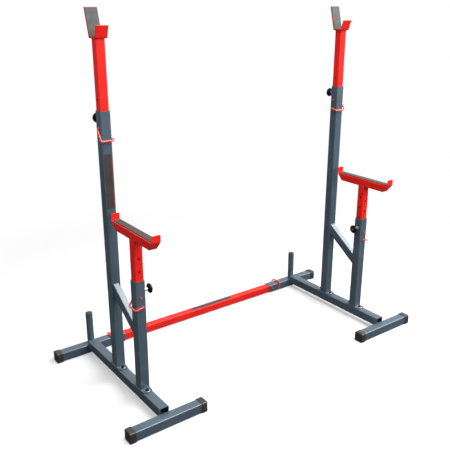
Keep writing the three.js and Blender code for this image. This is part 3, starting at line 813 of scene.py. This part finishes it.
# %% Hook liner
liner_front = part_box("left_j_hook_liner")[0].y
liner_thickness, liner_bend, liner_slope, liner_round = 0.003, 0.0022, 0.0018, 0.0006
glue_gap, top_margin, side_margin = 0.0003, 0.0012, 0.0004
foot_point, top_point = (Vector((0, *p)) for p in hook_side[2:])
up = (top_point - foot_point).normalized()
front = Vector((0, -up.z, up.y))
depth = hook_plate / 2 + glue_gap + liner_thickness / 2
corner = foot_point + Vector((0, -depth * math.tan(math.atan2(up.z, up.y) / 2), depth))
end = top_point - up * top_margin + front * depth
liner = bent_strip(
    "left_j_hook_rubber", [(liner_front, corner.z), (corner.y, corner.z), (end.y, end.z)],
    hook_low.x + side_margin, hook_high.x - side_margin, liner_bend,
)
shape(liner, "SOLIDIFY", thickness=liner_thickness, offset=0, use_even_offset=True)
rim = end + front * liner_thickness / 2
pick(liner, "EDGE", lambda at, way: (
    abs(way.x) > same_way and (at - rim).yz.length < same_place))
bpy.ops.mesh.bevel(offset=liner_slope, segments=2, affect="EDGES")
leave()
soften(liner, liner_round, over=50, segments=3)
hand_over(liner, "rack", ["j_hook_liner"], grey_rubber, "grey_rubber")
print("liner rises to z =", round(end.z, 4))

# %% [markdown]
# ## Spotter rest
# The rest that catches the bar is a smaller tube laid along the unit, its ends cut on a
# slant. A plate closes each end and stands up past the top as a lip with rounded corners.
# The tube is bisected along both slants before it gets its wall.

# %% Spotter rest
rest_low, rest_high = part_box("left_spotter_rest")
rest_size, rest_corner = 0.033, 0.0035
rest_half, rest_mitre, rest_plate, rest_lip = 0.147, 0.028, 0.003, 0.0255
lip_bend, lip_corner, lip_gap = 0.004, 0.004, 0.001
overrun_share = 0.09
y, z = spotter_middle.y, rest_low.z
slants = [
    ((0, y + side * rest_half, z + rest_size), (0, side * rest_size, -rest_mitre))
    for side in (-1, 1)
]
rest = box_tube(
    "left_spotter_rest_beam", (rest_low.x, y - rest_half, z),
    (rest_high.x, y + rest_half, z + rest_size), "Y", rest_corner, cuts=slants,
)
plates = []
foot = rest_half - rest_mitre * (1 + overrun_share) + lip_gap
top = rest_half + lip_gap
for side in (-1, 1):
    lip_side = [
        (y + side * foot, z - rest_size * overrun_share),
        (y + side * top, z + rest_size), (y + side * top, z + rest_size + rest_lip),
    ]
    plate = bent_strip("lip_plate", lip_side, rest_low.x, rest_high.x, lip_bend, lip_corner)
    shape(plate, "SOLIDIFY", thickness=rest_plate, offset=0, use_even_offset=True)
    pick(plate, "FACE")
    bpy.ops.mesh.bisect(plane_co=(0, 0, z), plane_no=(0, 0, -1), clear_outer=True, use_fill=True)
    leave()
    soften(plate, sheared_edge)
    plates.append(plate)
choose(*plates, rest)
bpy.ops.object.join()
hand_over(rest, "spotter", ["spotter_rest"], *red)
print("rest", [round(v * 1000, 1) for v in rest_high - rest_low], "mm")

# %% [markdown]
# ## Rubber on the rest
# A flat rubber strip lies on the rest between the lips, with rounded corners and a raised rim
# from its mould. It is a block with bevelled corners. Its top face is inset twice, once by
# the rim and once more while it sinks, which gives the rim its step.

# %% Rubber strip of the rest
pad_corner, pad_round = 0.003, 0.0005
pad_border, pad_step, pad_sink = 0.0020, 0.0005, 0.0004
pad_low, pad_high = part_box("left_spotter_pad")
pad = block("left_spotter_rubber", pad_low, pad_high)
pick(pad, "EDGE", lies_along(axes["Z"]))
bpy.ops.mesh.bevel(offset=pad_corner, segments=4, affect="EDGES")
pick(pad, "FACE", lambda at, way: way.z > same_way)
bpy.ops.mesh.inset(thickness=pad_border, depth=0)
bpy.ops.mesh.inset(thickness=pad_step, depth=-pad_sink)
leave()
soften(pad, pad_round)
hand_over(pad, "spotter", ["spotter_pad"], dark_rubber, "grey_rubber")
print("pad", [round(v * 1000, 1) for v in pad_high - pad_low], "mm")

# %% [markdown]
# ## Foot caps
# A thick moulded cap is pushed over each free foot end, and is all that touches the floor.
# It is a block with rounded long edges and a softer rim at the closed end. The mouth is
# inset by the wall and extruded inwards, a shallow panel is sunk in the end face, and a
# V-groove is pressed round it near the mouth, by cutting three rings and shrinking one.

# %% Foot caps
cap_wall, cap_grip = 0.0022, 0.0213
cap_corner, cap_rim, cap_round = 0.006, 0.0022, 0.0005
panel_border, panel_sink = 0.0024, 0.0008
groove_place, groove_half, groove_share = 0.0042, 0.0008, 0.972


def foot_cap(node, closed):
    """A sleeve cap whose closed end faces -X or +X."""
    low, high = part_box(f"left_{node}")
    middle = (low + high) / 2
    mouth = high.x if closed < 0 else low.x
    end = mouth + closed * (high.x - low.x)
    cap = block(f"left_{node}_moulding", low, high)
    pick(cap, "EDGE", lies_along(axes["X"]))
    bpy.ops.mesh.bevel(offset=cap_corner, segments=5, affect="EDGES")
    pick(cap, "EDGE", lambda at, way: abs(at.x - end) < same_place)
    bpy.ops.mesh.bevel(offset=cap_rim, segments=3, affect="EDGES")
    pick(cap, "FACE", lambda at, way: way.x * closed > same_way)
    bpy.ops.mesh.inset(thickness=panel_border, depth=0)
    bpy.ops.mesh.inset(thickness=panel_sink, depth=-panel_sink)
    pick(cap, "FACE", lambda at, way: way.x * closed < -same_way)
    bpy.ops.mesh.inset(thickness=cap_wall, depth=0)
    inwards = Vector((closed * cap_grip, 0, 0))
    bpy.ops.mesh.extrude_region_move(TRANSFORM_OT_translate={"value": inwards})
    for distance in (groove_place - groove_half, groove_place, groove_place + groove_half):
        bpy.ops.mesh.select_all(action="SELECT")
        bpy.ops.mesh.bisect(plane_co=(mouth + closed * distance, 0, 0), plane_no=(1, 0, 0))
    groove = mouth + closed * groove_place
    inside = (high.z - low.z) / 2 - cap_wall
    pick(cap, "VERT", lambda at, way: (
        abs(at.x - groove) < same_place
        and max(abs(at.y - middle.y), abs(at.z - middle.z)) > inside + same_place))
    bpy.ops.transform.resize(value=(1, groove_share, groove_share),
                             center_override=(groove, middle.y, middle.z))
    leave()
    soften(cap, cap_round, over=50)
    hand_over(cap, "base", [node], cap_polyethylene, "cap_polyethylene")


for node, closed in (("front_cap_outer", -1), ("front_cap_inner", 1), ("rear_cap", -1)):
    foot_cap(node, closed)
print("caps made,", len(made), "pieces so far")

# %% [markdown]
# ## Turned pieces
# Knobs, barrels, plungers, washers and plugs are bodies of revolution. One corner is dragged
# along half of the section by extruding it point by point, and the line is spun once round
# the axis. The doubled corners where the turn closes are merged, and the normals turned out.

# %% Turned pieces
def path_of(name, points):
    """A wire through points: a plane merged to one corner, extruded from point to point."""
    bpy.ops.object.select_all(action="DESELECT")
    bpy.ops.mesh.primitive_plane_add(size=1)
    wire = bpy.context.object
    wire.name = wire.data.name = name
    pick(wire, "VERT")
    bpy.ops.mesh.merge(type="CENTER")
    bpy.ops.transform.translate(value=points[0])
    for here, there in zip(points, points[1:]):
        bpy.ops.mesh.extrude_region_move(TRANSFORM_OT_translate={"value": there - here})
    return wire


def turned(name, profile, place, axis, steps=48):
    """Spins a section, given as (radius, height) in mm, and stands it on a place."""
    piece = path_of(name, [mm(radius, 0, height) for radius, height in profile])
    bpy.ops.mesh.select_all(action="SELECT")
    bpy.ops.mesh.spin(steps=steps, angle=2 * math.pi, center=(0, 0, 0), axis=(0, 0, 1))
    leave()
    piece.rotation_euler = turn_to[axis]
    piece.location = place
    settle(piece)
    face_outwards(piece)
    return piece


# %% [markdown]
# ## Plate peg
# Plates are stored on a round tube that stands on the rear foot. A ribbed plug with a low
# dome closes it. The tube is an open cylinder with a wall, and the plug is turned.

# %% Plate peg
peg_low, peg_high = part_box("left_plate_peg")
peg_middle = middle_of("left_plate_peg")
peg_radius = (peg_high.x - peg_low.x) / 2
peg_round = 0.0004
bpy.ops.object.select_all(action="DESELECT")
bpy.ops.mesh.primitive_cylinder_add(
    vertices=56, radius=peg_radius, depth=peg_high.z - peg_low.z, end_fill_type="NOTHING",
    location=peg_middle,
)
peg = settle(bpy.context.object, "left_plate_peg_tube")
shape(peg, "SOLIDIFY", thickness=tube_wall, offset=-1, use_even_offset=True)
soften(peg, peg_round)
hand_over(peg, "base", ["plate_peg"], *slate)

plug_radius, dome_start, dome_rise, plug_gap = 15, 1.6, 4.4, 0.3
dome_angles = (0.2, 0.45, 0.7, 0.95, 1.2, 1.4)
plug_side = [(0, -12), (11.8, -12), (12.7, -11), (12.7, -8), (12.2, -7.5), (12.2, -6.5),
             (12.7, -6), (12.7, -3), (12.2, -2.5), (12.2, 0), (14.6, 0),
             (plug_radius, 0.4), (plug_radius, dome_start)]
plug_side += [(plug_radius * math.cos(a), dome_start + dome_rise * math.sin(a))
              for a in dome_angles]
plug_side.append((0, dome_start + dome_rise))
plug_place = Vector((peg_middle.x, peg_middle.y, peg_high.z)) + mm(0, 0, plug_gap)
plug = turned("left_plate_peg_plug", plug_side, plug_place, "Z")
hand_over(plug, "base", ["plate_peg_cap"], cap_polyethylene, "cap_polyethylene")
print("peg", round((peg_high.x - peg_low.x) * 1000, 1), "mm across")

# %% [markdown]
# ## Pull pins
# A zinc-plated barrel is fixed to the post. Through it runs a plunger whose nose enters the
# hole row, pushed by a coil spring round its shaft, with a black knob on its outer end. The
# barrel has two turned grooves, the knob a soft rim and a bright shaft end in its middle.

# %% Pull pins
barrel_side = [(4.7, 0.3), (7.7, 0.3), (8, 0.6), (8, 2.9), (7.1, 3.8), (6, 3.8), (6, 8), (5.6, 8.4),
               (5.6, 9.2), (6, 9.6), (6, 12), (5.6, 12.4), (5.6, 13.2), (6, 13.6), (6, 17.2),
               (5.2, 18), (3, 18), (3, 14.5), (4.7, 14.5), (4.7, 0.3)]
plunger_side = [(0, -8), (2.3, -8), (2.6, -7.8), (3.8, -6.6), (3.8, 0.3), (4.2, 0.3), (4.2, 2.8),
                (2.5, 2.8), (2.5, 29.3), (2.3, 29.5), (0, 29.5)]
knob_side = [(0, 29.8), (2.8, 29.8), (2.8, 19.5), (7.1, 19.5), (7.5, 19.9), (7.5, 22.4), (8.1, 23),
             (14.2, 23), (16.4, 23.5), (18.1, 24.9), (18.9, 26.8), (19, 28.4), (18.5, 30.3),
             (17.2, 31.7), (15.2, 32.6), (12, 33.4), (8.6, 34), (5.9, 34.2), (5.2, 33.9),
             (5.1, 33.4), (0, 33.4)]
disc_side = [(0, 33.4), (4.8, 33.4), (4.8, 34), (4.4, 34.3), (2.2, 34.4), (0, 34.4)]
spring_start, spring_end, spring_turns = 3.1, 14.2, 4
spring_radius, wire_radius = 3.6, 0.45


def coil(name, place, axis):
    """The plunger's spring: a small circle carried round by Screw, its ends filled."""
    bpy.ops.object.select_all(action="DESELECT")
    bpy.ops.mesh.primitive_circle_add(
        vertices=10, radius=wire_radius / 1000, rotation=(math.pi / 2, 0, 0),
        location=mm(spring_radius, 0, spring_start + wire_radius),
    )
    spring = settle(bpy.context.object, name)
    pitch = (spring_end - spring_start - 2 * wire_radius) / spring_turns
    shape(spring, "SCREW", axis="Z", screw_offset=pitch / 1000, iterations=spring_turns, steps=28)
    pick(spring, "VERT")
    bpy.ops.mesh.fill_holes(sides=0)
    leave()
    spring.rotation_euler = turn_to[axis]
    spring.location = place
    return settle(spring)


def pull_pin(name, place, axis):
    """One pull pin with its moving and fixed pieces."""
    pin = f"{name}_pull"
    barrel = turned(f"left_{pin}_sleeve", barrel_side, place, axis)
    hand_over(barrel, "base", [f"{pin}_barrel"], *zinc)
    plunger = turned(f"left_{pin}_shaft", plunger_side, place, axis, 32)
    hand_over(plunger, f"{pin}_pin", [f"{pin}_plunger"], *zinc)
    knob = turned(f"left_{pin}_grip", knob_side, place, axis, 64)
    hand_over(knob, f"{pin}_pin", [f"{pin}_knob"], knob_polyamide, "knob_polyamide")
    disc = turned(f"left_{pin}_shaft_end", disc_side, place, axis, 32)
    hand_over(disc, f"{pin}_pin", [], *zinc)
    spring = coil(f"left_{pin}_coil", place, axis)
    pair = hand_over(spring, "base", [f"{pin}_spring"], spring_steel, "spring_steel")
    for side, copy in pair.items():
        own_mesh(copy)


pull_pin("rack", upright_middle + Vector((0, post_half, rack_plunger_height)), "Y")
pull_pin("spotter", spotter_middle + Vector((post_half, 0, spotter_plunger_height)), "X")
print("pull pins made,", len(made), "pieces so far")

# %% [markdown]
# ## Rod clips
# One rod, bent three times: a straight leg goes through tube and slider, the next slants down
# over the side face, the third crosses the face beside it and the last hooks round. The wire
# is extruded corner by corner, each corner is rounded by a bevel of its own length, and the
# wire becomes a curve with a round section. The rims of its two ends are rounded a little.

# %% Rod clips
rod_radius, rod_bend, rod_round = 0.0035, 0.007, 0.0009
clip_corners = [mm(24, 0, 0), mm(-25.5, 0, 0), mm(-25.5, -25.5, -45), mm(25.5, -25.5, -45),
                mm(25.5, 7.5, -37.5)]


def rod_clip(name, place_on):
    """A bent rod through the clip's corners, each put in place by a function."""
    corners = [place_on(corner) for corner in clip_corners]
    rod = path_of(f"left_{name}_rod", corners)
    for before, here, there in zip(corners, corners[1:], corners[2:]):
        half = (before - here).angle(there - here) / 2
        pick(rod, "VERT", lambda at, way: (at - here).length < same_place)
        bpy.ops.mesh.bevel(offset=rod_bend / math.tan(half), segments=9, affect="VERTICES")
    leave()
    bpy.ops.object.convert(target="CURVE")
    line = bpy.context.object.data
    line.bevel_depth, line.bevel_resolution, line.use_fill_caps = rod_radius, 5, True
    bpy.ops.object.convert(target="MESH")
    rod = settle(bpy.context.object, f"left_{name}_rod")
    face_outwards(rod)
    for tip in (corners[0], corners[-1]):
        pick(rod, "FACE", lambda at, way: (at - tip).length < same_place)
        bpy.ops.mesh.bevel(offset=rod_round, segments=3, affect="EDGES")
    leave()
    hand_over(rod, name, [name], red_vinyl, "red_coated_rod")


rod_clip("rack_clip", lambda p: p + upright_middle + Vector((0, 0, rack_pin_height)))
rod_clip("spotter_clip",
         lambda p: Vector((p.y, -p.x, p.z)) + spotter_middle + Vector((0, 0, spotter_pin_height)))
rod_clip("bar_clip", lambda p: Vector((p.z, -p.x, -p.y)) + clip_pin)
print("clips made,", len(made), "pieces so far")

# %% [markdown]
# ## Flange bolts
# Two bolts hold each flange, one in front of the post and one behind it. Under each hex head
# lies a bright washer, the silver glint that shows beside the dark head. The head is a
# six-sided cylinder with a chamfered top and a shallow dish in it, joined to its shank.

# %% Flange bolts
flange_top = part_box("left_upright")[0].z + flange_thickness
bolt_reach = 0.034
washer_side = [(4.3, 0), (10.2, 0), (10.5, 0.3), (10.5, 1.3), (10.2, 1.6), (4.3, 1.6), (4.3, 0)]
shank_side = [(0, -9), (3.6, -9), (4, -8.6), (4, 1.7), (0, 1.7)]
washer_height, head_height, head_radius, head_round = 0.0016, 0.0055, 0.0075, 0.0003
chamfer_width, chamfer_rise = 0.0008, 0.0004
dish_border, dish_sink = 0.0012, 0.0003
for post_name, middle in (("upright", upright_middle), ("spotter_post", spotter_middle)):
    for end, side in (("front", -1), ("back", 1)):
        place = middle + Vector((0, side * bolt_reach, flange_top))
        washer = turned(f"left_{post_name}_{end}_washer", washer_side, place, "Z", 32)
        hand_over(washer, "base", [], *zinc)
        bpy.ops.object.select_all(action="DESELECT")
        bpy.ops.mesh.primitive_cylinder_add(
            vertices=6, radius=head_radius, depth=head_height,
            location=place + Vector((0, 0, washer_height + head_height / 2)),
        )
        head = settle(bpy.context.object, f"left_{post_name}_{end}_bolt")
        pick(head, "FACE", lambda at, way: way.z > same_way)
        bpy.ops.mesh.inset(thickness=chamfer_width, depth=chamfer_rise)
        bpy.ops.mesh.inset(thickness=dish_border, depth=-dish_sink)
        leave()
        soften(head, head_round)
        shank = turned("shank", shank_side, place, "Z", 24)
        choose(shank, head)
        bpy.ops.object.join()
        hand_over(head, "base", [], black_oxide, None)
print("bolts made,", len(made), "pieces so far")

# %% [markdown]
# ## Weld beads
# Where tubes are joined, a rippled bead runs round the joint under the paint. A plane as
# large as the joint has its corners rounded and its face taken out, the straight edges are
# divided every 2 mm, and the outline becomes a curve with a round section. Its radius rises
# and falls from point to point, which gives ripples of about 6 mm.

# %% Weld beads
frame_bead, flange_bead, slider_bead = 0.0015, 0.0016, 0.0014
ripple_depth, ripple_step, ripple_cuts = 0.14, 2.1, 15


def bead(name, outline, radius, body, finish, slot, keep=None):
    """Turns a flat outline into a rippled bead. An edge that fails the keep test is left out."""
    pick(outline, "FACE")
    bpy.ops.mesh.delete(type="ONLY_FACE")
    if keep:
        pick(outline, "EDGE", lambda at, way: not keep(at))
        bpy.ops.mesh.delete(type="EDGE")
    pick(outline, "EDGE", lambda at, way: max(abs(part) for part in way) > same_way)
    bpy.ops.mesh.subdivide(number_cuts=ripple_cuts)
    leave()
    choose(outline)
    bpy.ops.object.convert(target="CURVE")
    line = bpy.context.object.data
    for spline in line.splines:
        for i, point in enumerate(spline.points):
            point.radius = 1 + ripple_depth * math.sin(ripple_step * i)
    line.bevel_depth, line.bevel_resolution, line.use_fill_caps = radius, 2, True
    bpy.ops.object.convert(target="MESH")
    hand_over(settle(bpy.context.object, f"left_{name}_weld"), body, [], finish, slot)


def square_outline(place, axis, width, height, corner):
    """A plane across an axis with rounded corners."""
    bpy.ops.object.select_all(action="DESELECT")
    bpy.ops.mesh.primitive_plane_add(size=1, location=place, rotation=turn_to[axis])
    outline = bpy.context.object
    outline.scale = (width, height, 1)
    settle(outline)
    pick(outline, "VERT")
    bpy.ops.mesh.bevel(offset=corner, segments=4, affect="VERTICES")
    leave()
    return outline


tube_side = 2 * post_half
for post_name, middle in (("upright", upright_middle), ("spotter_post", spotter_middle)):
    joint = middle + Vector((0, 0, flange_top))
    ring = square_outline(joint, "Z", tube_side, tube_side, tube_corner)
    bead(post_name, ring, flange_bead, "base", *slate)
brace_width = brace_high.x - brace_low.x
brace_face = abs(brace_depth / math.cos(slope))
for end, y in (("brace_front", brace_low.y), ("brace_back", brace_high.y)):
    away = y - brace_middle.y
    joint = brace_middle + Vector((0, away, math.tan(slope) * away))
    ring = square_outline(joint, "Y", brace_width, brace_face, brace_corner)
    bead(end, ring, frame_bead, "base", *slate)
print("brace ends at z =", round(joint.z, 4))

# %% Beads of the base and the red pieces
spine_low, spine_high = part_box("left_spine")
spine_middle = middle_of("left_spine")
foot_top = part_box("left_front_foot")[1].z
for end, y in (("spine_front", spine_low.y), ("spine_back", spine_high.y)):
    joint = Vector((spine_middle.x, y, spine_middle.z))
    ring = square_outline(joint, "Y", tube_side, tube_side, tube_corner)
    bead(end, ring, frame_bead, "base", *slate, keep=lambda at: at.z < foot_top)
slider_size = 0.035
for name, slider_node, body, middle, width in (
    ("j_hook", "left_rack_slider", "rack", upright_middle, slider_size),
    ("spotter_rest", "left_spotter_slider", "spotter", spotter_middle, rest_size),
):
    joint = Vector((middle.x, middle.y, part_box(slider_node)[1].z))
    ring = square_outline(joint, "Z", width, slider_size, tube_corner)
    bead(name, ring, slider_bead, body, *red)
bpy.ops.object.select_all(action="DESELECT")
bpy.ops.mesh.primitive_circle_add(vertices=44, radius=peg_radius, fill_type="NGON",
                                  location=(peg_middle.x, peg_middle.y, peg_low.z))
ring = settle(bpy.context.object)
bead("plate_peg", ring, frame_bead, "base", *slate)
print("beads made,", len(made), "pieces so far")

# %% [markdown]
# ## Plain panels
# A dark panel is stuck to the front of the left tall post, and one to the top of the cross
# bar. Each is plain satin film, 0.3 mm thick, with rounded corners, and the one on the post
# has a narrow red edge. A film this thin is best made as a very flat block.

# %% Panels
film = 0.0003
post_panel_half, stripe_width, post_panel_corner = 0.0165, 0.003, 0.0012
post_panel_bottom, post_panel_top = 0.741, 0.947
bar_panel_left, bar_panel_right = -0.052, 0.185
bar_panel_half, bar_panel_corner = 0.012, 0.002


def panel(name, low, high, corner):
    """A thin film with rounded corners, flat on the face that it is stuck to."""
    sheet = block(name, low, high)
    size = Vector(high) - Vector(low)
    thinnest = min(axes, key=lambda axis: size.dot(axes[axis]))
    pick(sheet, "EDGE", lies_along(axes[thinnest]))
    bpy.ops.mesh.bevel(offset=corner, segments=4, affect="EDGES")
    leave()
    return sheet


face = upright_middle.y - post_half
left_edge = upright_middle.x - post_panel_half
right_edge = upright_middle.x + post_panel_half
stripe_edge = right_edge - stripe_width
bar_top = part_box("cross_bar")[1].z
for name, body, finish, low, high, corner in (
    ("left_post_panel", "left_base", panel_film, (left_edge, face - film, post_panel_bottom),
     (stripe_edge, face, post_panel_top), post_panel_corner),
    ("left_post_stripe", "left_base", stripe_film, (stripe_edge, face - film, post_panel_bottom),
     (right_edge, face, post_panel_top), post_panel_corner),
    ("cross_bar_panel", "cross_bar", panel_film,
     (bar_panel_left, bar_middle.y - bar_panel_half, bar_top),
     (bar_panel_right, bar_middle.y + bar_panel_half, bar_top + film), bar_panel_corner),
):
    sheet = panel(name, low, high, corner)
    polish(sheet, finish)
    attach(sheet, body)
    made.append(sheet.name)
print("all pieces:", len(made))

# %% [markdown]
# ## Size
# The dressed stand has to stay the size of the CAD model, so its box is printed, with the number of
# faces of the made pieces.

# %% Size and finish
low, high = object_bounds()
faces = sum(len(bpy.data.objects[name].data.polygons) for name in made)
print("visual box in mm:", [round(v * 1000, 1) for v in (*low, *high)], "faces:", faces)
